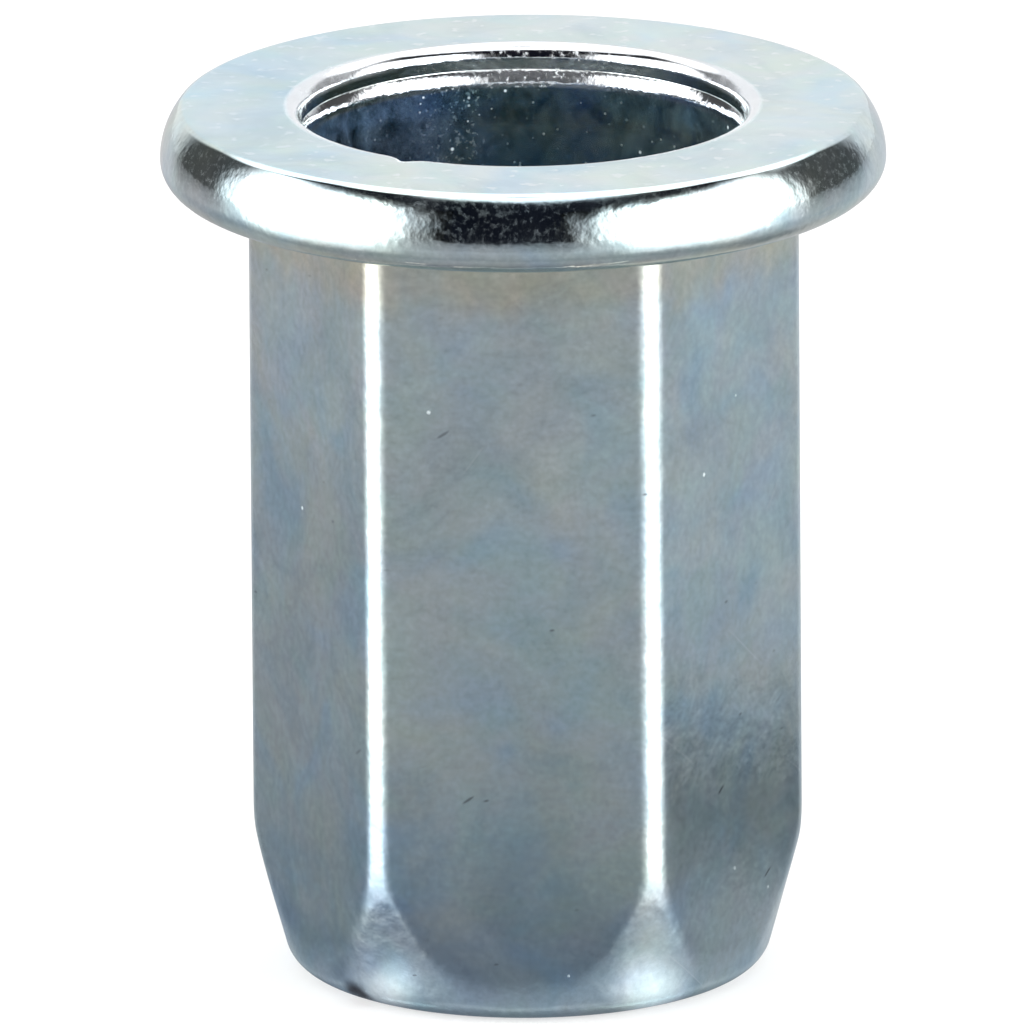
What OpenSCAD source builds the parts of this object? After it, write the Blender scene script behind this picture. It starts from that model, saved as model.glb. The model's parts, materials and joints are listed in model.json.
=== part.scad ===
// Hex rivet nut: one piece of zinc-plated steel with a round flat flange,
// a full-hexagon body, a wide thin-walled bore that collapses when the nut
// is set, and a threaded bore at the small end.
// The origin is on the axis, in the plane of the flange's underside, which
// seats on the sheet. The flange is above it and the body hangs below.
// One flat of the hexagon faces -Y, so two corners lie on the X axis.

/* [Flange] */
// Diameter of the flange
flange_d = 13.4; // [12:0.1:18]
// Thickness of the flange
flange_t = 1.5; // [1:0.1:2.4]
// How far the edge of the flat face on top lies inside the rim
rim_in = 0.39; // [0.2:0.01:0.9]
// Radius of the curve between the rim and the flange's underside
rim_low_r = 0.51; // [0.2:0.01:0.8]
// Radius of the edge between the flat face and the rim
face_edge_r = 0.2; // [0.05:0.01:0.3]

/* [Hexagon body] */
// Length over all, flange included
overall_l = 16.4; // [14:0.1:24]
// Width across flats
across_flats = 9; // [8.8:0.05:10.4]
// Radius of the hexagon's six corners
corner_r = 0.56; // [0.2:0.02:1.2]

/* [Small end] */
// Diameter of the end cone where it would meet the end face
end_d = 8.74; // [7.6:0.02:9.6]
// Slope of the end cone from the axis, in degrees
cone_angle = 15.5; // [10:0.5:30]
// Radius of the curve between the hexagon's corners and the cone
cone_blend_r = 2.5; // [1:0.1:2.5]
// Radius of the edge between the cone and the end face
end_edge_r = 0.6; // [0.1:0.01:0.8]

/* [Mouth and wide bore] */
// Diameter of the wide bore
bore_d = 8; // [7.6:0.05:8.2]
// How far the foot of the recess's wall stands outside the wide bore
mouth_step = 0.11; // [0.05:0.01:0.3]
// Depth of the recess, from the flange's face to its shoulder
mouth_depth = 0.46; // [0.36:0.02:0.8]
// How far the recess's wall leans outwards, in degrees
mouth_draft = 2; // [1:0.5:6]
// Radius of the mouth's edge
mouth_edge_r = 0.27; // [0.05:0.01:0.3]
// Radius of the round shoulder between the recess and the wide bore
shoulder_r = 0.46; // [0.4:0.02:0.8]

/* [Thread] */
// Diameter of the bore that the thread is cut in
tapping_d = 5; // [4.2:0.05:6]
// Length of the threaded bore, from the end face to the wide bore's floor
thread_l = 7.4; // [5:0.1:9]
// Point angle of the drilled floor between the two bores, in degrees
floor_angle = 118; // [90:1:140]
// Diameter of the countersink at the small end
lead_d = 6.3; // [6.1:0.05:7]

/* [Hidden] */

// Fine enough for a smooth edge on every curve
$fn = 180;
// How far a cut runs past the face that it opens
past = 0.5;
// How far the body reaches into the flange, to be one piece with it
root = 0.3;

flange_r = flange_d / 2;
body_l = overall_l - flange_t;

// The rim's long upper curve starts upright where the lower curve ends, and
// would run through the edge of the flat face if that were sharp.
rim_rise = flange_t - rim_low_r;
rim_top_r = (rim_in * rim_in + rim_rise * rim_rise) / (2 * rim_in);
rim_mid_r = flange_r - rim_top_r;
// The edge of the flat face touches that curve from inside.
face_edge_z = flange_t - face_edge_r;
face_edge_in = sqrt(pow(rim_top_r - face_edge_r, 2) - pow(rim_rise - face_edge_r, 2));
face_edge_a = atan2(face_edge_z - rim_low_r, face_edge_in);

// The corners' centres, and how far the rounded corners stand from the axis
corner_mid_r = (across_flats / 2 - corner_r) / cos(30);
corner_out = corner_mid_r + corner_r;

// The envelope of the body just clears the corners, so that only its cone
// and the curve above the cone shape them.
envelope_r = corner_out + 0.02;
end_r = end_d / 2;
// Centre of the curve above the cone, in height above the end face
blend_mid_r = envelope_r - cone_blend_r;
blend_mid_z = (cone_blend_r + (blend_mid_r - end_r) * cos(cone_angle)) / sin(cone_angle);
// Centre of the curve between the cone and the end face
end_edge_mid_r = end_r - end_edge_r * (1 - sin(cone_angle)) / cos(cone_angle);

bore_r = bore_d / 2;
mouth_r = bore_r + mouth_step;
tapping_r = tapping_d / 2;
lead_r = lead_d / 2;
// The recess: its wall, and the centre of the mouth's edge
shoulder_z = flange_t - mouth_depth;
mouth_top_r = mouth_r + mouth_depth * tan(mouth_draft);
mouth_edge_z = flange_t - mouth_edge_r;
mouth_edge_mid_r = mouth_r + (mouth_edge_z - shoulder_z) * tan(mouth_draft)
    + mouth_edge_r / cos(mouth_draft);
// The shoulder: where its curve runs out into the wide bore's wall
shoulder_in = shoulder_r - mouth_step;
shoulder_low_z = shoulder_z - sqrt(shoulder_r * shoulder_r - shoulder_in * shoulder_in);
// The drilled floor between the wide bore and the threaded one
floor_low_z = thread_l - body_l;
floor_top_z = floor_low_z + (bore_r - tapping_r) / tan(floor_angle / 2);

// Waste outside a round edge. The edge's circle is centred on the origin,
// and its two faces look in the directions first_a and last_a.
module edge_waste(r, first_a, last_a) {
    middle_a = (first_a + last_a) / 2;
    reach = r + past;
    corner_reach = reach / cos(middle_a - first_a);
    difference() {
        polygon([
            [0, 0],
            [reach * cos(first_a), reach * sin(first_a)],
            [corner_reach * cos(middle_a), corner_reach * sin(middle_a)],
            [reach * cos(last_a), reach * sin(last_a)]
        ]);
        circle(r);
    }
}

// Half section of the flange: the flat face and its edge, the long upper
// curve, the short lower curve and the underside
module flange_section() {
    difference() {
        square([flange_r, flange_t]);
        translate([rim_mid_r, rim_low_r])
            edge_waste(rim_top_r, 0, 90);
        translate([flange_r - rim_low_r, rim_low_r])
            edge_waste(rim_low_r, -90, 0);
        translate([rim_mid_r + face_edge_in, face_edge_z])
            edge_waste(face_edge_r, face_edge_a, 90);
    }
}

module flange() {
    rotate_extrude()
        flange_section();
}

// Hexagon with round corners: the flats end where the corners' circles start
module hexagon_section() {
    polygon([
        for (i = [0:5], side = [-30, 30])
            [
                corner_mid_r * cos(60 * i) + corner_r * cos(60 * i + side),
                corner_mid_r * sin(60 * i) + corner_r * sin(60 * i + side)
            ]
    ]);
    for (i = [0:5])
        translate([corner_mid_r * cos(60 * i), corner_mid_r * sin(60 * i)])
            circle(corner_r);
}

// Half section that trims the hexagon at the small end, in height above the
// end face: the end face and its edge, the cone and the curve above it
module envelope_section() {
    difference() {
        polygon([
            [0, 0],
            [end_r, 0],
            [envelope_r, (envelope_r - end_r) / tan(cone_angle)],
            [envelope_r, body_l + root],
            [0, body_l + root]
        ]);
        translate([end_edge_mid_r, end_edge_r])
            edge_waste(end_edge_r, -90, -cone_angle);
        translate([blend_mid_r, blend_mid_z])
            edge_waste(cone_blend_r, -cone_angle, 0);
    }
}

module body() {
    translate([0, 0, -body_l])
        intersection() {
            linear_extrude(body_l + root)
                hexagon_section();
            rotate_extrude()
                envelope_section();
        }
}

// Half section of everything that is open along the axis, from the mouth
// down to the countersink at the small end
module bore_section() {
    difference() {
        polygon([
            [0, flange_t + past],
            [mouth_top_r, flange_t + past],
            [mouth_top_r, flange_t],
            [mouth_r, shoulder_z],
            [mouth_r, shoulder_low_z],
            [bore_r, shoulder_low_z],
            [bore_r, floor_top_z],
            [tapping_r, floor_low_z],
            [tapping_r, lead_r - tapping_r - body_l],
            [lead_r + past, -body_l - past],
            [0, -body_l - past]
        ]);
        translate([bore_r + shoulder_r, shoulder_low_z])
            circle(shoulder_r);
    }
    translate([mouth_edge_mid_r, mouth_edge_z])
        edge_waste(mouth_edge_r, 90, 180 - mouth_draft);
}

module rivet_nut() {
    color([0.70, 0.72, 0.74])
        difference() {
            union() {
                flange();
                body();
            }
            rotate_extrude()
                bore_section();
        }
}

rivet_nut();
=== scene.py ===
# %% [markdown]
# # A hex rivet nut of zinc-plated steel
# A rivet nut puts a strong thread into sheet metal that is too thin to be tapped. It goes into a
# six-sided hole, a tool pulls its threaded end towards its flange, and the thin wall between the two
# folds out behind the sheet. The nut here has not been set yet, so its wall is still straight.
# This lesson dresses a measured solid of the nut. The solid is loaded as a fixed frame, in metres,
# with the nut's axis on Z and the underside of its flange at height zero. Nothing in the lesson
# moves the solid: it only gives it a finer skin, a finish, and a small studio to stand in.

# %% Load the measured part
import json
import math

import bpy
import numpy as np
from mathutils import Matrix, Vector


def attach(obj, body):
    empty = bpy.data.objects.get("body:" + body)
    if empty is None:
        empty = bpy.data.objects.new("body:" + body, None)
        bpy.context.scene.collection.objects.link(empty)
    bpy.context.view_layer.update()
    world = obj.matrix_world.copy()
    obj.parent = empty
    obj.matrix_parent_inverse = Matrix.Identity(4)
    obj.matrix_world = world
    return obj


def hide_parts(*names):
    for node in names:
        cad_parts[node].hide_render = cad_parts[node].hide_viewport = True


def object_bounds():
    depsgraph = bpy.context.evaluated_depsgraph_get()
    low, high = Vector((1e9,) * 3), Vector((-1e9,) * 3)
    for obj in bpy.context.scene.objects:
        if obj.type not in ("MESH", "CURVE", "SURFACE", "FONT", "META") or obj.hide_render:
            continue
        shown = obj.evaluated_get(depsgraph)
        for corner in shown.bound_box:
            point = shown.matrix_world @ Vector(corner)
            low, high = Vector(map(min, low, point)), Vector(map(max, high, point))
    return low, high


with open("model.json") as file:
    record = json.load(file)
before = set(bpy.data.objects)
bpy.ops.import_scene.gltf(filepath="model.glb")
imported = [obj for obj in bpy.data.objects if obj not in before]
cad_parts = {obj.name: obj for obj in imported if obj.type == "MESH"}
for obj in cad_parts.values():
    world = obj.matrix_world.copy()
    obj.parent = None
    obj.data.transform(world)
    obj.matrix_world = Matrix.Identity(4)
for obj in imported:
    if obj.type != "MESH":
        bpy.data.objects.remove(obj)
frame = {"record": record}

MM = 0.001
cad_low, cad_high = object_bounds()
print("The solid is", [round(side / MM, 2) for side in cad_high - cad_low], "mm")

# %% [markdown]
# ## Sizes
# The overall sizes are read from the solid, and the two bores from the mounts that its record
# states, so the skin can't drift away from them. The curves at its edges are too small to be read
# from a box. They are given once, in millimetres, here and where each is first needed, and all that
# follows is worked out from them.

# %% Sizes of the nut
flange_r = cad_high.x / MM
flange_t = cad_high.z / MM
body_l = -cad_low.z / MM
mount_sizes = {mount["name"]: mount["dims"] for mount in frame["record"]["mounts"]}
bore_r = mount_sizes["wide_bore"]["r_mm"]
tapping_r = mount_sizes["thread"]["r_mm"]

across_flats = 9.0
corner_r = 0.56
rim_in = 0.39
face_edge_r = 0.2
rim_low_r = 0.51
print(f"Flange {2 * flange_r:.2f} by {flange_t:.2f}, body {across_flats} across flats and {body_l:.2f} long")

# %% [markdown]
# ## The camera
# Small hardware is photographed from far off with a long lens, so that its sides stay parallel. The
# picture looks down on the nut a little, and almost square on to one flat: the flat to its right is
# wider than the flat to its left, so the camera stands a few degrees to the right. A far camera and a
# long lens give the same flat perspective here. The nut also leans a hair in the picture, and rolling
# the camera does that without tilting the part.

# %% Camera
picture_w = 18.93 * MM
camera_distance = 860 * MM
camera_turn = math.radians(3.0)
camera_drop = math.radians(15.84)
camera_roll = math.radians(0.40)
aim_left = 0.252 * MM
aim_height = -6.328 * MM

level_ahead = Vector((-math.sin(camera_turn), math.cos(camera_turn), 0))
level_right = Vector((math.cos(camera_turn), math.sin(camera_turn), 0))
towards_nut = level_ahead * math.cos(camera_drop) - Vector((0, 0, math.sin(camera_drop)))
level_up = level_right.cross(towards_nut)
aim = Vector((0, 0, aim_height)) - level_right * aim_left
right = level_right * math.cos(camera_roll) - level_up * math.sin(camera_roll)
up = level_up * math.cos(camera_roll) + level_right * math.sin(camera_roll)

camera_data = bpy.data.cameras.new("camera")
camera_data.sensor_width = 36
camera_data.lens = camera_data.sensor_width * camera_distance / picture_w
camera_data.clip_start = 10 * MM
camera = bpy.data.objects.new("camera", camera_data)
camera.matrix_world = (
    Matrix.Translation(aim - towards_nut * camera_distance)
    @ Matrix((right, up, -towards_nut)).transposed().to_4x4()
)
bpy.context.scene.collection.objects.link(camera)
bpy.context.scene.camera = camera
print(f"Lens {camera_data.lens:.0f} mm, {math.degrees(camera_drop):.1f} degrees above the horizon")

# %% [markdown]
# ## How the skin is made
# The real nut is formed cold from wire, then drilled, tapped and plated. It could be modelled with
# booleans, but those leave long thin faces that spoil a mirror finish. Almost everything on the nut
# is turned or close to it, so this skin is one closed net instead: rings of points round the axis,
# each at a radius and a height, taken in order from the mouth over the flange, down the outside,
# round the small end and up through the thread and the bore, back to the mouth.
# A ring has the same number of points everywhere, so that each can be joined to the next. Points
# crowd at the hexagon's corners, where the surface turns fast, and at the ends of every stretch,
# where one curve meets another.

# %% Points round a ring
def spread(first, last, count):
    """Steps from first to last, without first itself, that are closer together at both ends."""
    share = (1 - np.cos(np.pi * np.arange(1, count + 1) / count)) / 2
    return np.asarray(first)[..., None] + (np.asarray(last) - first)[..., None] * share


side_angle = math.radians(60)
half_side = side_angle / 2
corner_mid = (across_flats / 2 - corner_r) / math.cos(half_side)
turn = np.linspace(-half_side, half_side, 17)
corner_angles = np.arctan2(corner_r * np.sin(turn), corner_mid + corner_r * np.cos(turn))
corner_half = corner_angles[-1]
flat_angles = spread(corner_half, side_angle - corner_half, 28)[:-1]
sector = np.concatenate([corner_angles, flat_angles])
angles = np.concatenate([sector + side_angle * side for side in range(6)])
columns = len(angles)
print(columns, "points in each ring, with a corner", round(2 * math.degrees(corner_half), 2), "degrees wide")

# %% [markdown]
# ## Stretches of rings
# The section of the nut is a chain of straight stretches and arcs, as on a turner's drawing. Each
# stretch adds its rings to a list, and the list becomes the net at the end. A stretch starts where
# the one before it stopped, so it leaves out its own first ring.

# %% A net that grows by stretches
stretches = []


def stretch(title, r, z):
    """Adds rings to the net. A ring's radius or height is one number, or one for each column."""
    r, z = np.broadcast_arrays(r, z)
    if r.ndim == 1:
        r, z = np.tile(r, (columns, 1)), np.tile(z, (columns, 1))
    stretches.append(np.stack([r, z], axis=-1))
    print(f"{title}: {r.shape[1]} rings, down to {z.min():.2f} mm")


def round_edge(title, mid_r, mid_z, edge_r, first, last, count):
    """Adds the rings of an arc, whose centre is a circle round the axis. Angles are in degrees."""
    turn = np.radians(spread(first, last, count))
    stretch(title, mid_r + edge_r * np.cos(turn), mid_z + edge_r * np.sin(turn))


print("The net starts with", len(stretches), "stretches")

# %% [markdown]
# ## The flange
# The punch leaves a flat face on top with a crisp edge. The rim below it is a long soft curve that
# turns in quickly underneath, because the metal bulged out sideways between two dies. The long
# curve's radius follows from how far it comes in over the flange's height.

# %% Flange
mouth_step = 0.11
mouth_edge_r = 0.27
mouth_draft = 2
mouth_depth = 0.46
mouth_r = bore_r + mouth_step
lean = math.tan(math.radians(mouth_draft))
shoulder_z = flange_t - mouth_depth
mouth_edge_z = flange_t - mouth_edge_r
mouth_edge_mid_r = mouth_r + (mouth_edge_z - shoulder_z) * lean + mouth_edge_r * math.hypot(1, lean)

rim_rise = flange_t - rim_low_r
rim_top_r = (rim_in**2 + rim_rise**2) / (2 * rim_in)
rim_mid_r = flange_r - rim_top_r
face_edge_in = math.sqrt((rim_top_r - face_edge_r) ** 2 - (rim_rise - face_edge_r) ** 2)
face_edge_a = math.degrees(math.atan2(rim_rise - face_edge_r, face_edge_in))

round_edge("mouth edge", mouth_edge_mid_r, mouth_edge_z, mouth_edge_r, 180 - mouth_draft, 90, 12)
stretch("face", spread(mouth_edge_mid_r, rim_mid_r + face_edge_in, 12), flange_t)
round_edge("face edge", rim_mid_r + face_edge_in, flange_t - face_edge_r, face_edge_r, 90, face_edge_a, 6)
round_edge("rim", rim_mid_r, rim_low_r, rim_top_r, face_edge_a, 0, 24)
round_edge("under the rim", flange_r - rim_low_r, rim_low_r, rim_low_r, 0, -90, 14)

# %% [markdown]
# ## The hexagon
# The body is a hexagon with round corners. Its radius at any angle is the distance to a flat, or to
# the small circle at a corner. Cold metal doesn't fill a die to the line, so on the real nut a corner
# runs out into its flats gently. The mean over a few degrees of angle does the same here, and it
# gives the white reflection along each corner its soft borders.

# %% Radius of the hexagon
def angle_from_corner(angle):
    """Angle from the nearest corner of the hexagon."""
    return np.remainder(angle + half_side, side_angle) - half_side


def hexagon_radius(angle):
    """Distance from the axis to a flat, or to the circle at a corner."""
    off = angle_from_corner(angle)
    to_circle = corner_mid * np.cos(off) + np.sqrt(np.maximum(corner_r**2 - (corner_mid * np.sin(off)) ** 2, 0))
    to_flat = across_flats / 2 / np.cos(half_side - np.abs(off))
    return np.where(np.abs(off) < corner_half, to_circle, to_flat)


run_out = math.radians(2.5)
hexagon_r = np.mean([hexagon_radius(angles + shift) for shift in np.linspace(-run_out, run_out, 11)], axis=0)
from_corner = angle_from_corner(angles)
print(f"Corners {hexagon_r.max():.2f} and flats {hexagon_r.min():.2f} from the axis")

# %% [markdown]
# ## The tapered end
# The end is turned to a cone so that the nut finds its hole, and the cone cuts the corners deeply and
# the flats hardly at all. That leaves the U-shaped line at the foot of each flat. A wide curve leads
# from the corners to the cone, and a round edge from the cone to the end face. Two functions give the
# cone's radius at a height and the height of a radius, so that rings can be laid along the line.

# %% Radius of the tapered end
end_r = 8.74 / 2
cone = math.radians(15.5)
cone_blend_r = 2.5
end_edge_r = 0.6
corner_gap = 0.02

blend_mid_r = corner_mid + corner_r + corner_gap - cone_blend_r
blend_mid_h = (cone_blend_r + (blend_mid_r - end_r) * math.cos(cone)) / math.sin(cone)
blend_low_h = blend_mid_h - cone_blend_r * math.sin(cone)
end_edge_top = end_edge_r * (1 - math.sin(cone))
end_edge_mid_r = end_r - end_edge_top / math.cos(cone)


def taper_radius(h):
    """Radius of the tapered end at a height above the end face."""
    under_blend = np.clip(blend_mid_h - h, 0, cone_blend_r)
    under_edge = np.clip(end_edge_r - h, 0, end_edge_r)
    blend = blend_mid_r + np.sqrt(cone_blend_r**2 - under_blend**2)
    edge = end_edge_mid_r + np.sqrt(end_edge_r**2 - under_edge**2)
    return np.where(h > blend_low_h, blend, np.where(h < end_edge_top, edge, end_r + h * math.tan(cone)))


def taper_height(r):
    """Height above the end face at which the cone, or the curve above it, has that radius."""
    blend = blend_mid_h - np.sqrt(np.maximum(cone_blend_r**2 - (r - blend_mid_r) ** 2, 0))
    return np.where(r < blend_mid_r + cone_blend_r * math.cos(cone), (r - end_r) / math.tan(cone), blend)


print(f"The corners are cut from {taper_height(hexagon_r.max()):.2f} mm above the end")

# %% [markdown]
# ## The body
# The rings of the body follow the U-shaped line, so that it stays as clean as on the real nut, and
# crowd on both sides of it. A smooth minimum of the hexagon and the cone takes off the last
# sharpness. It is softer at the middle of a flat, where the two meet at a very shallow angle.

# %% Body
root_r = 0.08
crease_at_corner = 0.10
crease_more_at_flat = 0.12
near_line = 0.4
softness = crease_at_corner + crease_more_at_flat * (from_corner[:, None] / half_side) ** 2

stretch("underside", spread(flange_r - rim_low_r, hexagon_r + root_r, 6), 0)
turn = np.radians(spread(90, 180, 4))
stretch("root", hexagon_r[:, None] + root_r * (1 + np.cos(turn)), root_r * (np.sin(turn) - 1))

line_h = taper_height(hexagon_r)
foot_h = 0.8 * end_edge_top
below_line_h = np.maximum(line_h - near_line, 0.9 * end_edge_top)
foot_turn = spread(math.asin(1 - foot_h / end_edge_r), math.pi / 2, 16)
heights = np.concatenate(
    [
        spread(body_l - root_r, line_h + near_line, 20),
        spread(line_h + near_line, line_h, 10),
        spread(line_h, below_line_h, 10),
        spread(below_line_h, np.full(columns, foot_h), 10),
        np.tile(end_edge_r * (1 - np.sin(foot_turn)), (columns, 1)),
    ],
    axis=1,
)
flat, taper = hexagon_r[:, None], taper_radius(heights)
overlap = np.maximum(softness - np.abs(flat - taper), 0) / softness
stretch("body and end", np.minimum(flat, taper) - overlap**2 * softness / 4, heights - body_l)

# %% [markdown]
# ## The thread
# An internal thread is a groove that climbs one pitch in each turn. Here the groove's depth is a
# formula of the angle and the height, so the same rings of points can carry it. An M6 thread has a
# pitch of 1 mm and flanks at 30 degrees. The drill leaves its crests flat at the tapping size. At
# the small end a countersink runs through the first turn, and at the inner end the thread dies out
# in the cone that the drill left.

# %% Thread
pitch = 1.0
thread_l = 7.4
thread_r = 6.0 / 2
groove_floor = pitch / 8
flank_slope = math.tan(math.radians(60))
lead_r = 6.3 / 2
drill_point = math.radians(118)
floor_slope = math.tan(drill_point / 2)
floor_low_z = thread_l - body_l
floor_top_z = floor_low_z + (bore_r - tapping_r) / floor_slope
rings_in_a_turn = 20
first_ring = 0.02
past_thread = 0.05

stretch("end face", spread(end_edge_mid_r, lead_r, 8), -body_l)
thread_top_z = floor_low_z + (thread_r + past_thread - tapping_r) / floor_slope
thread_z = np.arange(first_ring - body_l, thread_top_z, pitch / rings_in_a_turn)
across_groove = np.remainder(thread_z - pitch * angles[:, None] / (2 * np.pi), pitch) - pitch / 2
groove = thread_r - (np.abs(across_groove) - groove_floor / 2) * flank_slope
countersink = lead_r - (thread_z + body_l)
drill_floor = tapping_r + (thread_z - floor_low_z) * floor_slope
thread = np.clip(groove, tapping_r, thread_r)
stretch("thread", np.maximum(thread, np.maximum(countersink, drill_floor)), thread_z)
print(f"{thread_l / pitch:.1f} turns of thread, {thread_r - tapping_r:.2f} deep")

# %% [markdown]
# ## The bore, the shoulder and the mouth
# Above the thread the nut is bored wide, so that its wall can fold. At the top the bore opens over a
# round shoulder into a shallow recess, and the recess ends in the round edge of the mouth. That edge
# is where the net began.

# %% Bore and mouth
shoulder_r = 0.46
shoulder_in = shoulder_r - mouth_step
shoulder_low_z = shoulder_z - math.sqrt(shoulder_r**2 - shoulder_in**2)
shoulder_top_a = 180 - math.degrees(math.acos(shoulder_in / shoulder_r))

floor_z = spread(thread_z[-1], floor_top_z, 6)
stretch("drill's floor", tapping_r + (floor_z - floor_low_z) * floor_slope, floor_z)
stretch("bore", bore_r, spread(floor_top_z, shoulder_low_z, 16))
round_edge("shoulder", bore_r + shoulder_r, shoulder_low_z, shoulder_r, 180, shoulder_top_a, 14)
recess_top_z = mouth_edge_z + mouth_edge_r * math.sin(math.radians(mouth_draft))
recess_z = spread(shoulder_z, recess_top_z, 6)
stretch("recess", mouth_r + (recess_z - shoulder_z) * lean, recess_z)

# %% [markdown]
# ## Joining the net
# Each point is joined to its neighbours in the ring and in the next ring, and the last ring to the
# first, so the skin is closed and has no edge anywhere. Nuts are plated in a tumbling barrel, where
# they knock against each other, and this one has a nick in the near edge of its mouth. It is pushed
# into the points there.

# %% Points of the skin
rings = np.concatenate(stretches, axis=1)
ring_count = rings.shape[1]
points = np.stack(
    [
        rings[..., 0] * np.cos(angles)[:, None],
        rings[..., 0] * np.sin(angles)[:, None],
        rings[..., 1],
    ],
    axis=-1,
).reshape(-1, 3)

nick_angle = math.radians(-90 - 27)
nick_w = 0.2
nick_depth = 0.06
nick_r = mouth_edge_mid_r - mouth_edge_r / 2
nick = np.array([nick_r * math.cos(nick_angle), nick_r * math.sin(nick_angle), flange_t])
nearness = np.exp(-((np.linalg.norm(points - nick, axis=1) / nick_w) ** 2))
outward = np.array([math.cos(nick_angle), math.sin(nick_angle), -1])
points += nearness[:, None] * outward * nick_depth
print(ring_count, "rings of", columns, "points")

# %% [markdown]
# ## The mesh
# The net becomes one mesh, which stands for the measured solid in pictures. It rides on the nut's
# only body, and its slot names the stuff that it is made of.

# %% Skin of the nut
column, ring = np.meshgrid(np.arange(columns), np.arange(ring_count), indexing="ij")
next_column, next_ring = (column + 1) % columns, (ring + 1) % ring_count
faces = np.stack(
    [
        column * ring_count + ring,
        column * ring_count + next_ring,
        next_column * ring_count + next_ring,
        next_column * ring_count + ring,
    ],
    axis=-1,
).reshape(-1, 4)

skin = bpy.data.meshes.new("nut_skin")
skin.from_pydata((points * MM).tolist(), [], faces.tolist())
skin.shade_smooth()
nut = bpy.data.objects.new("nut_skin", skin)
bpy.context.scene.collection.objects.link(nut)
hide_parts("rivet_nut")
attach(nut, "root")
print(len(points), "points and", 2 * len(faces), "triangles")

# %% [markdown]
# ## The zinc finish
# Bright zinc plating is a thin grey metal film. A passivating dip then leaves a clear skin on it,
# so thin that it tints the metal in soft patches of blue, teal, violet and straw. The patches could
# come from a painted image, but noise that is laid through the solid has no seams and fits every
# face of the nut. All the shaders measure in millimetres, from the nut's own origin.
# A few helpers add the nodes. The first is told which node tree to use, and the others find it from
# the sockets that they are given.

# %% Helpers for shader nodes
def add_node(tree, kind, settings=None, **inputs):
    """Adds a node of that kind. Inputs are values, or sockets of other nodes to be linked."""
    node = tree.nodes.new(kind)
    for name, value in (settings or {}).items():
        setattr(node, name, value)
    for name, value in inputs.items():
        numbered = name.startswith("in_")
        socket = node.inputs[int(name[3:]) if numbered else name.replace("_", " ")]
        if isinstance(value, bpy.types.NodeSocket):
            tree.links.new(value, socket)
        else:
            socket.default_value = value
    return node


def tree_of(*values):
    """The node tree of the first socket among the values."""
    return next(value.id_data for value in values if isinstance(value, bpy.types.NodeSocket))


def noise(where, scale, detail=2.0, roughness=0.5, distortion=0.0, offset=0.0):
    """Soft noise, with scale in features to a millimetre. An offset picks another part of it."""
    tree = tree_of(where)
    moved = add_node(tree, "ShaderNodeVectorMath", in_0=where, in_1=(offset, offset, offset))
    return add_node(
        tree,
        "ShaderNodeTexNoise",
        Vector=moved.outputs[0],
        Scale=scale,
        Detail=detail,
        Roughness=roughness,
        Distortion=distortion,
    ).outputs["Fac"]


def band(value, stops):
    """A colour ramp over a value: stops are pairs of a place and a colour."""
    ramp = add_node(tree_of(value), "ShaderNodeValToRGB", Fac=value)
    elements = ramp.color_ramp.elements
    while len(elements) < len(stops):
        elements.new(0.5)
    for element, (place, colour) in zip(elements, stops):
        element.position = place
        element.color = (*colour, 1)
    return ramp.outputs["Color"]


def mix_colour(share, a, b, how="MIX"):
    """Mixes two colours by a share. Each of the three is a value or a socket."""
    settings = {"data_type": "RGBA", "blend_type": how}
    mix = add_node(tree_of(share, a, b), "ShaderNodeMix", settings, in_0=share, in_6=a, in_7=b)
    return mix.outputs[2]


print("Helpers add the nodes of noise, ramps and mixes")

# %% [markdown]
# ## Colour of the zinc
# Three layers multiply the grey of the metal: patches from straw to blue, smaller ones from green to
# violet, and faint stains where the rinse ran. All are weak, because the real film is only just
# coloured.

# %% Colour of the zinc
zinc = bpy.data.materials.new("bright_zinc")
zinc.use_nodes = True
skin.materials.append(zinc)
zinc_tree = zinc.node_tree
metal = next(node for node in zinc_tree.nodes if node.type == "BSDF_PRINCIPLED")
metal.inputs["Metallic"].default_value = 1.0
in_metres = add_node(zinc_tree, "ShaderNodeTexCoord").outputs["Object"]
scaled = add_node(zinc_tree, "ShaderNodeVectorMath", {"operation": "SCALE"}, in_0=in_metres, Scale=1 / MM)
in_mm = scaled.outputs[0]

base_grey = (0.64, 0.76, 0.79, 1)
patches = 0.6
straw_to_blue = band(
    noise(in_mm, patches, detail=1.5, roughness=0.6, distortion=0.6),
    [
        (0.30, (1.06, 1.01, 0.94)),
        (0.44, (1.02, 1.00, 0.98)),
        (0.55, (0.99, 1.00, 1.01)),
        (0.70, (0.89, 0.97, 1.06)),
    ],
)
green_to_violet = band(
    noise(in_mm, 1.5 * patches, detail=1, roughness=0.5, distortion=0.5, offset=5),
    [(0.34, (0.97, 1.01, 0.99)), (0.50, (1, 1, 1)), (0.66, (1.02, 0.99, 1.01))],
)
stains = band(
    noise(in_mm, 0.75 * patches, detail=4, roughness=0.6, distortion=0.8, offset=43),
    [(0.34, (0.84, 0.88, 0.91)), (0.52, (1, 1, 1)), (0.68, (1.08, 1.06, 1.04))],
)
colour = straw_to_blue
for layer in (base_grey, green_to_violet, stains):
    colour = mix_colour(1.0, colour, layer, "MULTIPLY")
print("Zinc is tinted in patches of about", round(1 / patches, 1), "mm")

# %% [markdown]
# ## Places on the nut
# Each finish below belongs to a place, such as the face or the bore. A place is a share from 0 to 1
# that is worked out from a point's height and its distance to the axis, so it follows the sizes of
# the nut. Images painted for each place would do it too, but they would have to be painted again for
# a nut of another size.

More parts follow.
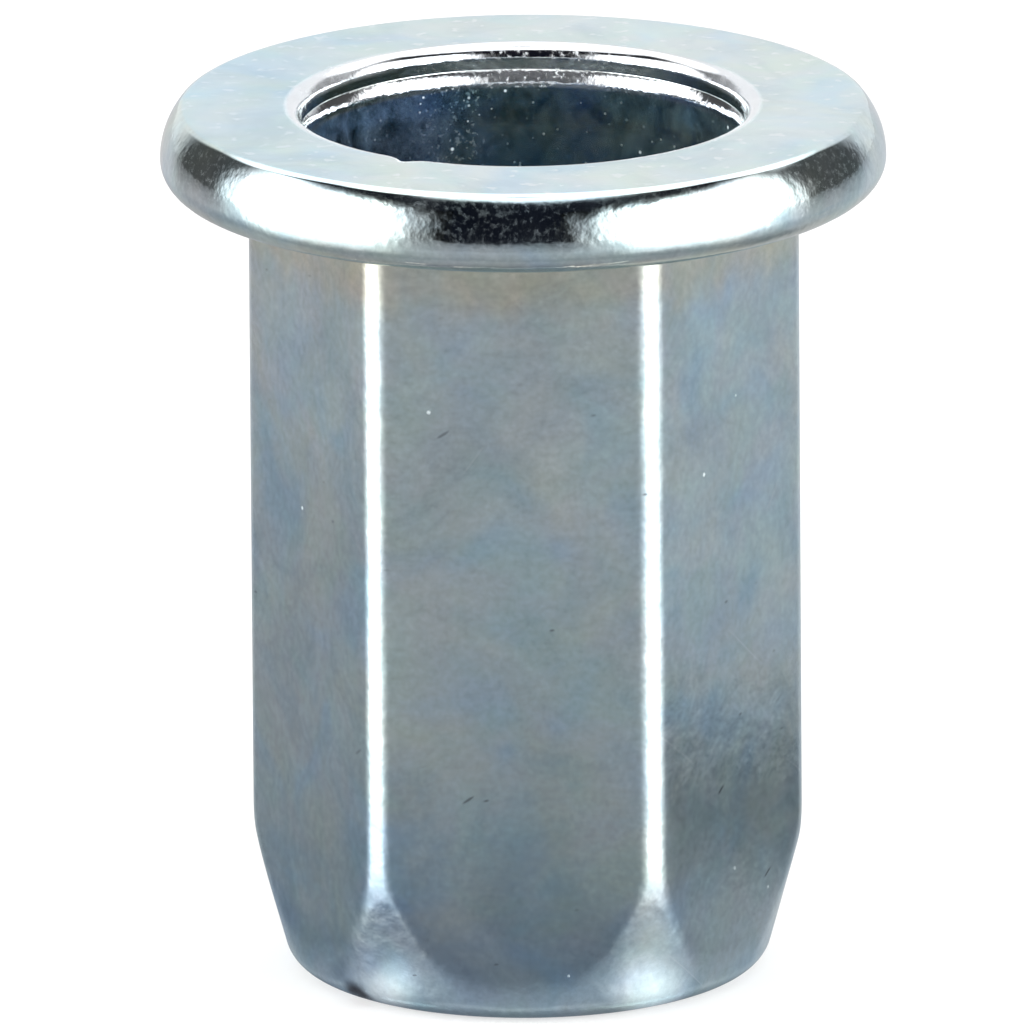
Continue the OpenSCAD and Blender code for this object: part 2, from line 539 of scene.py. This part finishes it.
# %% Places on the nut
def step(value, low, high):
    """Rises from 0 to 1 as the value goes from low to high, and falls where low is the higher one."""
    kind = "ShaderNodeMapRange"
    settings = {"interpolation_type": "SMOOTHSTEP"}
    return add_node(tree_of(value), kind, settings, Value=value, From_Min=low, From_Max=high).outputs["Result"]


def maths(operation, *values):
    """One sum of numbers or sockets."""
    numbered = {f"in_{i}": value for i, value in enumerate(values)}
    return add_node(tree_of(*values), "ShaderNodeMath", {"operation": operation}, **numbered).outputs[0]


def chain(operation, first, *others):
    """Takes one value after the other into the same kind of sum."""
    result = first
    for value in others:
        result = maths(operation, result, value)
    return result


def distance(where, point):
    """Distance from a point, in millimetres."""
    settings = {"operation": "DISTANCE"}
    return add_node(tree_of(where), "ShaderNodeVectorMath", settings, in_0=where, in_1=point).outputs["Value"]


axes = add_node(zinc_tree, "ShaderNodeSeparateXYZ", Vector=in_mm).outputs
across, ahead, height = axes["X"], axes["Y"], axes["Z"]
from_axis = maths("SQRT", maths("ADD", maths("MULTIPLY", across, across), maths("MULTIPLY", ahead, ahead)))
face_low_z = flange_t - 0.03
on_face = step(height, face_low_z, flange_t - 0.002)
above_body = step(height, -0.1, 0.1)
print("The face is everything above", round(face_low_z, 2), "mm")

# %% [markdown]
# ## The pressed face
# The punch presses the face smooth, so it has none of the fine grain of the other faces, and a more
# even tint. Fingers and other nuts leave small pale smudges on it. Its left part is tinted cooler,
# a painted reflection of a cooler corner of the studio.

# %% Colour of the face
grain = band(
    noise(in_mm, 6, detail=3, roughness=0.65, offset=7),
    [(0.32, (0.91, 0.91, 0.91)), (0.68, (1.05, 1.05, 1.05))],
)
grained = mix_colour(1.0, colour, grain, "MULTIPLY")
more_even = mix_colour(0.1, colour, base_grey)
colour = mix_colour(on_face, grained, more_even)

smudge_grey = (0.86, 0.90, 0.93, 1)
smudges = step(noise(in_mm, 3.2, detail=2, roughness=0.5, offset=71), 0.60, 0.70)
colour = mix_colour(chain("MULTIPLY", smudges, on_face, 0.5), colour, smudge_grey)

# Painted reflection: a cooler tint on the face's left part stands in for a cooler corner of the studio.
painted_reflection_tint = (0.90, 0.97, 1.02, 1)
cool_from = -1.5
cool_to = -5.0
painted_cool_reflection = chain("MULTIPLY", on_face, step(across, cool_from, cool_to))
colour = mix_colour(painted_cool_reflection, colour, painted_reflection_tint, "MULTIPLY")
print("The face's tint gets cooler over", cool_from - cool_to, "mm")

# %% [markdown]
# ## Straw under the flange
# The dip runs down the nut and dries last in the corner under the flange, where its skin stays
# thickest and turns straw-coloured. Noise shakes the lower border, so that it looks run and not cut.

# %% Straw under the flange
straw = (1.15, 0.97, 0.80, 1)
straw_high = -0.2
straw_low = -1.2
run_height = maths("ADD", height, noise(in_mm, 1.2, detail=2, offset=53))
dried = chain("MULTIPLY", step(run_height, straw_low, straw_high), step(height, 0.5, 0.1), 0.9)
colour = mix_colour(dried, colour, straw, "MULTIPLY")
print("Straw fades out over", straw_high - straw_low, "mm")

# %% [markdown]
# ## Painted shade and dull plating in the bore
# Plating doesn't reach well into a deep hole, because the current and the rinse both stay near the
# mouth, so the film inside is thin and dull. Its colour is also darkened as painted shade for the
# deep hole, and this starts just below the shoulder. Its place follows from the distance to the axis
# and from the height, and the end face keeps its bright film. On one side the skin is thick enough to
# look blue, and dried rinse leaves a thin haze in clouds.

# %% Colour in the bore
fade = 0.06
under_shoulder = step(height, shoulder_low_z + fade, shoulder_low_z - fade)
above_end = step(height, 0.3 - body_l, 0.5 - body_l)
near_axis = step(from_axis, bore_r + fade, bore_r + fade / 2)
in_bore = chain("MULTIPLY", near_axis, under_shoulder, above_end)

deep_blue = (0.34, 0.48, 0.85, 1)
blue_side = chain("MULTIPLY", step(across, -1.2, -2.1), step(across, -4.6, -3.2), 0.8)
# Painted shade together with the film's tints: these dark colours darken the bore as its shade would.
bore_film_and_painted_shade = band(
    noise(in_mm, 0.7, detail=3, distortion=0.5, offset=31),
    [(0.38, (0.47, 0.56, 0.54)), (0.52, (0.43, 0.54, 0.58)), (0.66, (0.38, 0.52, 0.70))],
)
bore_film_and_painted_shade = mix_colour(blue_side, bore_film_and_painted_shade, deep_blue)
colour = mix_colour(in_bore, colour, bore_film_and_painted_shade, "MULTIPLY")

clouds = noise(in_mm, 2.2, detail=5, roughness=0.75, distortion=0.5, offset=23)
haze = chain("MULTIPLY", in_bore, step(clouds, 0.3, 0.8), maths("MULTIPLY_ADD", blue_side, 0.6, 0.8))
print("The dull film starts", round(flange_t - shoulder_low_z, 2), "mm below the face")

# %% [markdown]
# ## The worn mouth, with painted shade in the recess
# Other nuts in the barrel rub on the mouth, so it is a plainer grey than the rest. The recess is
# darkened in greenish patches, which is painted shade in the hollow. The shoulder and the recess are
# rubbed matt at the back and at the front, and hardly at the nut's left and right. The matt places are
# only worked out here, and take away from the metal's mirror share further below.

# %% Colour of the mouth
plain_grey = (0.73, 0.735, 0.77, 1)
in_mouth = chain(
    "MULTIPLY",
    step(from_axis, mouth_edge_mid_r + fade, mouth_edge_mid_r - fade),
    step(height, shoulder_low_z - fade, shoulder_low_z + fade),
    0.8,
)
colour = mix_colour(in_mouth, colour, plain_grey)

# Painted shade: the recess is darkened in greenish patches that follow the clouds.
painted_recess_shade = band(clouds, [(0.35, (0.62, 0.67, 0.58)), (0.65, (1.04, 1.06, 1.00))])
in_recess = chain(
    "MULTIPLY",
    step(from_axis, mouth_r + 3 * fade, mouth_r + 2 * fade),
    step(height, shoulder_z - fade, shoulder_z + fade),
    step(height, mouth_edge_z + fade, mouth_edge_z - fade),
)
colour = mix_colour(in_recess, colour, painted_recess_shade, "MULTIPLY")

on_shoulder = chain(
    "MULTIPLY",
    step(from_axis, mouth_r + fade, mouth_r),
    step(height, shoulder_z + fade, shoulder_z),
    step(height, shoulder_low_z - fade, shoulder_low_z),
)
worn_middle = 0.3
from_middle = maths("ABSOLUTE", maths("SUBTRACT", across, worn_middle))
worn = chain("MULTIPLY", in_recess, step(from_middle, 3.0, 0.8))
rubbed = chain("MULTIPLY", on_shoulder, step(from_middle, 2.2, 0.6))
print("The recess is", round(mouth_edge_z - shoulder_z, 2), "mm high")

# %% [markdown]
# ## Specks
# Dust under the plating leaves tiny pale pimples, a few on the outside and many in the bore, with a
# crowd of them where dust fell in. They could be modelled one by one, but each is at most a tenth of
# a millimetre wide. A cell pattern gives each cell a random number, and only the cells with a high
# one get a dot.

# %% Specks
def dots(where, cells, dot_r, share, flat=False):
    """Round dots in a random share of the cells, with cells in number to a millimetre."""
    tree = tree_of(where)
    settings = {"voronoi_dimensions": "2D" if flat else "3D"}
    cell = add_node(tree, "ShaderNodeTexVoronoi", settings, Vector=where, Scale=cells, Randomness=1.0).outputs
    random = add_node(tree, "ShaderNodeSeparateColor", Color=cell["Color"]).outputs
    chosen = maths("GREATER_THAN", random["Red"], 1 - share)
    strength = maths("POWER", random["Green"], 2.0)
    return chain("MULTIPLY", chosen, step(cell["Distance"], dot_r * cells, dot_r * cells / 2), strength)


widest_dot_r = 0.05
few = chain("MULTIPLY", dots(in_mm, 2.0, widest_dot_r, 0.12), 0.4)
many = chain("MULTIPLY", dots(in_mm, 4.0, 0.04, 0.28), in_bore)
dust = chain("MULTIPLY", dots(in_mm, 9.0, 0.03, 0.5), in_bore, 0.4)
dust_place = -1.5
from_dust = maths("ABSOLUTE", maths("SUBTRACT", across, dust_place))
dusty = chain("MULTIPLY", in_bore, step(from_dust, 1.2, 0.3), step(height, -3.5, -0.5))
crowd = chain("MULTIPLY", dusty, dots(in_mm, 7.0, 0.04, 0.6))
speck = chain("MAXIMUM", few, many, dust, crowd)
print("Specks are up to", 2 * widest_dot_r, "mm wide")

# %% [markdown]
# ## Flecks at the mouth and on the rim
# Where nuts knock together the film is bruised into small pale flecks without a clear shape: at the
# back and the front of the mouth's edge, on the shoulder and, much fainter, round the rim. Fine
# noise that is cut at a level gives such shapes.

# %% Flecks
flecks_in_mm = 9
mottle = noise(in_mm, flecks_in_mm, detail=2, roughness=0.6, offset=61)
within_mouth = step(from_axis, mouth_edge_mid_r + fade, mouth_edge_mid_r)
knocked_edge = chain(
    "MULTIPLY",
    within_mouth,
    step(height, flange_t - 0.02, flange_t - 0.08),
    step(from_middle, 1.9, 0.5),
)
above_bore = step(height, shoulder_low_z - fade, shoulder_low_z)
less_in_recess = maths("MULTIPLY_ADD", in_recess, -0.4, 0.5)
bruised = chain("MULTIPLY", chain("MAXIMUM", rubbed, knocked_edge), above_bore, less_in_recess)
flecks = chain("MULTIPLY", step(mottle, 0.50, 0.72), bruised)

on_rim = chain(
    "MULTIPLY",
    step(from_axis, flange_r - 1.0, flange_r - 0.6),
    step(height, flange_t - 0.02, flange_t - 0.15),
)
rim_flecks = chain("MULTIPLY", step(mottle, 0.50, 0.70), on_rim, 0.05)
speck = chain("MAXIMUM", speck, flecks, rim_flecks)
pale_film = (0.90, 0.95, 0.97, 1)
colour = mix_colour(speck, colour, pale_film)
print("Flecks are about", round(1 / flecks_in_mm, 2), "mm wide")

# %% [markdown]
# ## Scratches, nicks and a dark spot
# Handling leaves faint light scratches and a few short dark nicks on the body, and a small dark spot
# sits low on the foot. A scratch is a dot in a pattern that is turned and squeezed. The body is
# unrolled for it: the angle round the axis becomes a length, so that the marks lie along the surface
# and not across it.

# %% Scratches, nicks and a dark spot
def scratches(where, lean, length, width, cells, share):
    """Short straight marks that all lean the same way, in degrees from upright."""
    tree = tree_of(where)
    about_z = {"rotation_type": "Z_AXIS"}
    turned = add_node(tree, "ShaderNodeVectorRotate", about_z, Vector=where, Angle=math.radians(lean))
    squeeze = (1, width / length, 1)
    times = {"operation": "MULTIPLY"}
    squeezed = add_node(tree, "ShaderNodeVectorMath", times, in_0=turned.outputs[0], in_1=squeeze)
    return dots(squeezed.outputs[0], cells, width / 2, share, flat=True)


round_axis = chain("MULTIPLY", maths("ARCTAN2", ahead, across), across_flats / 2)
unrolled = add_node(zinc_tree, "ShaderNodeCombineXYZ", X=round_axis, Y=height).outputs[0]
on_body = chain("MULTIPLY", step(height, 0.0, -0.2), step(from_axis, bore_r + 0.1, bore_r + 0.25))
leaning_left = scratches(unrolled, -50, 1.8, 0.03, 2.0, 0.7)
leaning_right = scratches(unrolled, 35, 1.2, 0.03, 2.0, 0.5)
scores = chain("MULTIPLY", chain("MAXIMUM", leaning_left, leaning_right), on_body, 0.5)
colour = mix_colour(scores, colour, pale_film)

nick_dark = (0.16, 0.18, 0.20, 1)
long_nicks = scratches(unrolled, 55, 0.3, 0.06, 1.2, 0.20)
short_nicks = scratches(unrolled, 80, 0.12, 0.05, 1.3, 0.25)
nicks = chain("MULTIPLY", chain("MAXIMUM", long_nicks, short_nicks), on_body, 0.7)
colour = mix_colour(nicks, colour, nick_dark)

# A small dark spot low on the foot, broken up by the clouds.
dark_spot_colour = (0.04, 0.04, 0.05, 1)
dark_spot_place = (-2.99, -3.16, 0.16 - body_l)
dark_spot = chain("MULTIPLY", step(distance(in_mm, dark_spot_place), 0.45, 0.15), step(clouds, 0.35, 0.5))
colour = mix_colour(dark_spot, colour, dark_spot_colour)
zinc_tree.links.new(colour, metal.inputs["Base Color"])
print("Dirt lies", round(dark_spot_place[2] + body_l, 2), "mm above the end")

# %% [markdown]
# ## Mirror share
# Bare zinc is a metal and mirrors the studio. Specks, haze, dust and rubbed places scatter light in
# all directions instead, so they take away a part of the metallic share. The highest of them counts,
# because a place that is matt for one reason doesn't get more matt for the next.

# %% Mirror share
dust_cloud = chain("MULTIPLY", dusty, step(mottle, 0.5, 0.68), 0.35)
edge_sides = chain(
    "MULTIPLY",
    within_mouth,
    step(height, mouth_edge_z - fade, mouth_edge_z + fade),
    step(from_middle, 2.6, 3.4),
)
matt_places = [
    speck,
    chain("MULTIPLY", haze, 0.25),
    dust_cloud,
    chain("MULTIPLY", worn, clouds, 0.15),
    chain("MULTIPLY", rubbed, clouds, 0.24),
    chain("MULTIPLY", edge_sides, clouds, 0.5),
]
matt_share = chain("MAXIMUM", *matt_places)
zinc_tree.links.new(maths("SUBTRACT", 1.0, matt_share), metal.inputs["Metallic"])
print("Zinc is a mirror but for", len(matt_places), "kinds of matt places")

# %% [markdown]
# ## Gloss
# The film is satin and not quite even: its roughness wanders a little over the nut. It is lower on
# the rim and in the mouth, where the dies slid over the metal, and higher on specks and worn places.

# %% Gloss of the zinc
satin_low = 0.17
satin_high = 0.22
gloss = add_node(
    zinc_tree,
    "ShaderNodeMapRange",
    Value=noise(in_mm, 1.3, detail=3, offset=3),
    From_Min=0.3,
    From_Max=0.7,
    To_Min=satin_low,
    To_Max=satin_high,
).outputs["Result"]
slid_over = chain("MULTIPLY", above_body, maths("SUBTRACT", 1.0, on_face), -0.09)
gloss = chain("ADD", gloss, chain("MULTIPLY", speck, 0.4), chain("MULTIPLY", worn, 0.10), slid_over)
zinc_tree.links.new(gloss, metal.inputs["Roughness"])
print("Roughness", satin_low, "to", satin_high, "on the flats")

# %% [markdown]
# ## Grain
# Plated steel is never flat: slow waves from the forming make its reflections swim, and fine pits
# break up their borders. Both are shallower than a hundredth of a millimetre, so they are bumps in
# the shading and not geometry. The punch pressed most of them out of the face. The pits are deeper
# where no die pressed on the metal: at the foot, and more so at the mouth and in the bore.

# %% Grain of the zinc
at_foot = step(height, 1.0 - body_l, 0.2 - body_l)
below_face = step(height, flange_t - 0.08, flange_t - 0.3)
never_pressed = chain("MULTIPLY", chain("MAXIMUM", above_body, at_foot, in_bore), below_face)
inner = chain("MULTIPLY", never_pressed, within_mouth)
pressed_flat = step(height, flange_t - 0.25, flange_t - 0.04)
peel = chain(
    "ADD",
    chain("MULTIPLY", never_pressed, 0.08),
    0.2,
    chain("MULTIPLY", inner, 0.25),
    chain("MULTIPLY", pressed_flat, -0.17),
    chain("MULTIPLY", on_rim, -0.03),
)
swell = chain("ADD", chain("MULTIPLY", pressed_flat, -0.85), 1.0, chain("MULTIPLY", on_rim, -0.15))

wave_height = 0.018 * MM
pit_depth = 0.012 * MM
pits_in_mm = 9
slow = noise(in_mm, 1.6, detail=2, offset=11)
fine = noise(in_mm, pits_in_mm, detail=1.5, offset=19)
waves = add_node(zinc_tree, "ShaderNodeBump", Height=slow, Strength=swell, Distance=wave_height)
pits = add_node(
    zinc_tree,
    "ShaderNodeBump",
    Height=fine,
    Strength=peel,
    Distance=pit_depth,
    Normal=waves.outputs["Normal"],
)
zinc_tree.links.new(pits.outputs["Normal"], metal.inputs["Normal"])
print("Zinc grain is about", round(1 / pits_in_mm, 2), "mm")

# %% [markdown]
# ## The studio
# Polished metal shows its surroundings, so the studio shapes the picture more than the finish does.
# The nut stands inside a white tent. A lamp stands low on each side, with a wider glow of lit cloth
# round it, and its reflection is the white strip along a corner. A roof runs down behind. The gap
# where the camera looks in stays dark, and it draws the dark band along the front of the flange.
# A reflection only cares for directions, so each bright part of the tent is given by its bearings
# to the right of the nut's front, its rises above the floor, its brightness, and the widths in
# degrees of its soft borders at the sides and at the top.

# %% White tent
floor_z = cad_low.z
tent_r = 450 * MM
tent_step = 3


def between(value, limits, soft):
    """1 between two limits and 0 outside them, with borders that are soft degrees wide."""
    share = np.clip(np.minimum(value - limits[0], limits[1] - value) / soft + 0.5, 0, 1)
    return share * share * (3 - 2 * share)


bright_parts = {
    "right lamp": ((38, 88), (-20, 38), 9.0, 20, 12),
    "right lamp's glow": ((35, 85), (-20, 30), 6.4, 38, 20),
    "left lamp": ((-94, -45), (-20, 38), 9.0, 20, 12),
    "left lamp's glow": ((-92, -45), (-20, 30), 6.4, 44, 20),
    "right cloth": ((42, 100), (-20, 43), 2.5, 16, 8),
    "left cloth": ((-105, -50), (-20, 43), 2.5, 16, 8),
    "back cloth": ((140, 220), (-20, 40), 0.93, 16, 6),
    "roof behind": ((110, 250), (36, 120), 2.0, 16, 6),
    "roof": ((-200, 400), (59, 120), 2.0, 1, 4),
    "right corner": ((95, 145), (-20, 60), 0.08, 8, 4),
    "left corner": ((-145, -100), (-20, 60), 0.08, 8, 4),
}
bearing, rise = np.meshgrid(np.arange(-180, 180, tent_step), np.arange(0, 90, tent_step), indexing="ij")
glow = np.zeros(bearing.shape)
for title, (bearings, rises, strength, side_soft, top_soft) in bright_parts.items():
    facing = np.maximum(between(bearing, bearings, side_soft), between(bearing + 360, bearings, side_soft))
    glow = np.maximum(glow, strength * facing * between(rise, rises, top_soft))
    print(f"{title}: {strength} bright")

# %% [markdown]
# ## The tent's cloth
# The tent is a dome of patches with a brightness at each corner, and only the patches that shine are
# kept. The camera doesn't see it. Area lamps would light the nut as well, but a mirror would show
# their hard rectangles.

# %% Cloth of the tent
level = np.cos(np.radians(rise))
tent_points = tent_r * np.stack(
    [
        np.sin(np.radians(bearing)) * level,
        -np.cos(np.radians(bearing)) * level,
        np.sin(np.radians(rise)),
    ],
    axis=-1,
).reshape(-1, 3)
tent_columns, tent_rows = bearing.shape
quads = []
for i in range(tent_columns):
    for j in range(tent_rows - 1):
        next_i = (i + 1) % tent_columns
        if max(glow[i, j], glow[i, j + 1], glow[next_i, j], glow[next_i, j + 1]) > 0:
            here, there = i * tent_rows + j, next_i * tent_rows + j
            quads.append([here, here + 1, there + 1, there])

tent_mesh = bpy.data.meshes.new("tent")
tent_mesh.from_pydata((tent_points + [0, 0, floor_z]).tolist(), [], quads)
tent_mesh.attributes.new("glow", "FLOAT", "POINT").data.foreach_set("value", glow.ravel())
cloth = bpy.data.materials.new("lit_cloth")
cloth.use_nodes = True
cloth.node_tree.nodes.clear()
glow_here = add_node(cloth.node_tree, "ShaderNodeAttribute", {"attribute_name": "glow"}).outputs["Fac"]
light = add_node(cloth.node_tree, "ShaderNodeEmission", Strength=glow_here)
add_node(cloth.node_tree, "ShaderNodeOutputMaterial", Surface=light.outputs[0])
tent_mesh.materials.append(cloth)
tent = bpy.data.objects.new("tent", tent_mesh)
tent.visible_camera = False
bpy.context.scene.collection.objects.link(tent)
print("The tent has", len(quads), "patches")

# %% [markdown]
# ## The floors
# The nut stands on a pale floor. A white floor that fills the picture would also fill the flats with
# white, so one floor lies on another. The one that the camera sees is pale, and the one that the
# metal sees is a grey gloss board, as photographers lay under bright parts, which here glows with
# painted light and shade. The pale floor can't be seen from below, so that the nut's underside can
# be looked at.

# %% Pale floor
def floor_disc(name, r, z):
    """A round floor with an empty material."""
    mesh = bpy.data.meshes.new(name)
    rim = [(r * math.cos(a), r * math.sin(a), z) for a in np.radians(np.arange(0, 360, 5))]
    mesh.from_pydata(rim, [], [tuple(range(len(rim)))])
    material = bpy.data.materials.new(name)
    material.use_nodes = True
    material.node_tree.nodes.clear()
    mesh.materials.append(material)
    disc = bpy.data.objects.new(name, mesh)
    bpy.context.scene.collection.objects.link(disc)
    return disc, material.node_tree


floor_r = 2000 * MM
floor_grey = (0.3, 0.3, 0.3, 1)
floor_glow = 0.6
pale_floor, floor_tree = floor_disc("pale_floor", floor_r, floor_z)
matt = add_node(floor_tree, "ShaderNodeBsdfDiffuse", Color=floor_grey).outputs[0]
own_glow = add_node(floor_tree, "ShaderNodeEmission", Strength=floor_glow).outputs[0]
pale = add_node(floor_tree, "ShaderNodeAddShader", in_0=matt, in_1=own_glow).outputs[0]
clear = add_node(floor_tree, "ShaderNodeBsdfTransparent").outputs[0]
from_below = add_node(floor_tree, "ShaderNodeNewGeometry").outputs["Backfacing"]
one_sided = add_node(floor_tree, "ShaderNodeMixShader", in_0=from_below, in_1=pale, in_2=clear).outputs[0]
add_node(floor_tree, "ShaderNodeOutputMaterial", Surface=one_sided)
pale_floor.visible_glossy = False
pale_floor.visible_diffuse = False
pale_floor.visible_shadow = False
print("Floor at", round(floor_z / MM, 2), "mm")

# %% [markdown]
# ## The board's painted light
# Every flat shows a strip of the gloss board, from close to the nut at its foot to far out at its
# top. The board glows, though it is no lamp, and its painted light and shade is a formula of the
# place on it: on the whole it gets lighter outwards, in its own steps in front of the nut and on
# each side of it.

# %% Painted light of the gloss board
board_r = 440 * MM
board_drop = 0.01 * MM
far_out = 60
gloss_board, board_tree = floor_disc("gloss_board", board_r, floor_z - board_drop)
gloss_board.visible_camera = False
board_metres = add_node(board_tree, "ShaderNodeTexCoord").outputs["Object"]
times = {"operation": "MULTIPLY"}
level_mm = (1 / MM, 1 / MM, 0)
on_board = add_node(board_tree, "ShaderNodeVectorMath", times, in_0=board_metres, in_1=level_mm).outputs[0]


def painted_light_outwards(tones):
    """Painted light that changes with the distance from the nut: pairs of a distance and a colour."""
    reach = tones[-1][0]
    share = maths("DIVIDE", distance(on_board, (0, 0, 0)), reach)
    return band(share, [(far / reach, colour) for far, colour in tones])


# Painted light and shade of the glowing board, in front of the nut, at its left and at its right.
painted_front_light = painted_light_outwards([
    (4.2, (0.16, 0.19, 0.23)),
    (4.5, (0.33, 0.38, 0.45)),
    (5.2, (0.30, 0.35, 0.43)),
    (6.4, (0.145, 0.175, 0.225)),
    (10, (0.215, 0.25, 0.31)),
    (16, (0.315, 0.35, 0.385)),
    (24, (0.44, 0.46, 0.48)),
    (40, (0.535, 0.545, 0.565)),
])
painted_left_light = painted_light_outwards([
    (6.4, (0.27, 0.305, 0.35)),
    (10, (0.265, 0.29, 0.32)),
    (20, (0.33, 0.35, 0.385)),
    (32, (0.385, 0.405, 0.445)),
    (far_out, (0.61, 0.59, 0.61)),
])
painted_right_light = painted_light_outwards([
    (6.4, (0.48, 0.515, 0.545)),
    (14, (0.39, 0.42, 0.46)),
    (26, (0.505, 0.54, 0.58)),
    (far_out, (0.645, 0.665, 0.71)),
])
board_axes = add_node(board_tree, "ShaderNodeSeparateXYZ", Vector=on_board).outputs
painted_side_light = mix_colour(step(board_axes["X"], -4, 4), painted_left_light, painted_right_light)
tone = mix_colour(step(board_axes["Y"], -6, 4), painted_front_light, painted_side_light)
print("The board's tone changes out to", far_out, "mm")

# %% [markdown]
# ## Painted spots on the board
# The flats and the facets at the nut's foot show spots of painted light and shade on the glowing
# board: a dark shape low on the right flat, and white spots and shades in the facets. Small things
# seem to have stood near the nut when it was photographed, because its flats and the facets at its
# foot show them: a dark shape low on the right flat, and white spots and shades in the facets. Each
# spot has its place in millimetres, its reach, its strength and its colour. Each is named after the
# part of the nut that shows it.

# %% Painted spots on the board
spots = {
    "right flat, low": (15.0, 3.9, 9.5, 0.92, (0.08, 0.11, 0.14)),
    "right flat, middle": (36.0, 13.0, 7.0, 0.30, (0.30, 0.40, 0.52)),
    "right flat, high": (45.0, 18.5, 8.0, 0.30, (0.34, 0.46, 0.60)),
    "right flat, between": (24.0, 12.0, 6.0, 0.15, (0.30, 0.40, 0.60)),
    "right facet, middle": (4.3, -4.9, 1.8, 1.0, (0.42, 0.42, 0.44)),
    "left facet, middle": (-4.2, -4.7, 1.7, 1.0, (0.06, 0.09, 0.15)),
    "left facet, side": (-4.7, -3.3, 1.5, 1.0, (0.06, 0.09, 0.16)),
    "left facet, top": (-6.0, -5.3, 1.4, 1.0, (0.75, 0.72, 0.78)),
    "right facet, top": (5.9, -5.85, 1.5, 1.0, (0.9, 0.9, 0.93)),
    "left facet, foot": (-2.9, -4.0, 1.05, 1.0, (1.0, 1.0, 1.04)),
    "right facet, foot": (3.0, -4.0, 1.3, 1.0, (1.5, 1.5, 1.56)),
}
# Painted light and shade: each spot is mixed into the glowing board's tone.
for x, y, reach, strength, painted_spot_colour in spots.values():
    painted_spot = chain("MULTIPLY", step(distance(on_board, (x, y, 0)), reach, 0.0), strength)
    tone = mix_colour(painted_spot, tone, (*painted_spot_colour, 1))

# The board glows with its painted tone, though it is no lamp, and mirrors the tent in part.
board_light = add_node(board_tree, "ShaderNodeEmission", Color=tone).outputs[0]
board_gloss = add_node(board_tree, "ShaderNodeBsdfGlossy", Roughness=0.2).outputs[0]
gloss_share = add_node(board_tree, "ShaderNodeFresnel", IOR=1.8).outputs[0]
board = add_node(board_tree, "ShaderNodeMixShader", in_0=gloss_share, in_1=board_light, in_2=board_gloss)
add_node(board_tree, "ShaderNodeOutputMaterial", Surface=board.outputs[0])
print("The board has", len(spots), "spots")

# %% [markdown]
# ## The dim room
# Beyond the tent the room is almost black to the metal, and white to the camera, as behind a part
# that was cut out of its picture. The plain view transform keeps the whites white.

# %% Dim room
room_dark = (0.005, 0.006, 0.011, 1)
backdrop_white = (1, 1, 1, 1)
world = bpy.data.worlds.new("dim_room")
world.use_nodes = True
room = next(node for node in world.node_tree.nodes if node.type == "BACKGROUND")
seen = add_node(world.node_tree, "ShaderNodeLightPath").outputs["Is Camera Ray"]
shade = mix_colour(seen, room_dark, backdrop_white)
world.node_tree.links.new(shade, room.inputs["Color"])
bpy.context.scene.world = world
bpy.context.scene.view_settings.view_transform = "Standard"
print("The room's blue is", room_dark[2], "bright")

# %% [markdown]
# ## Finish
# The view layer is updated once more at the end.

# %% Finish
bpy.context.view_layer.update()
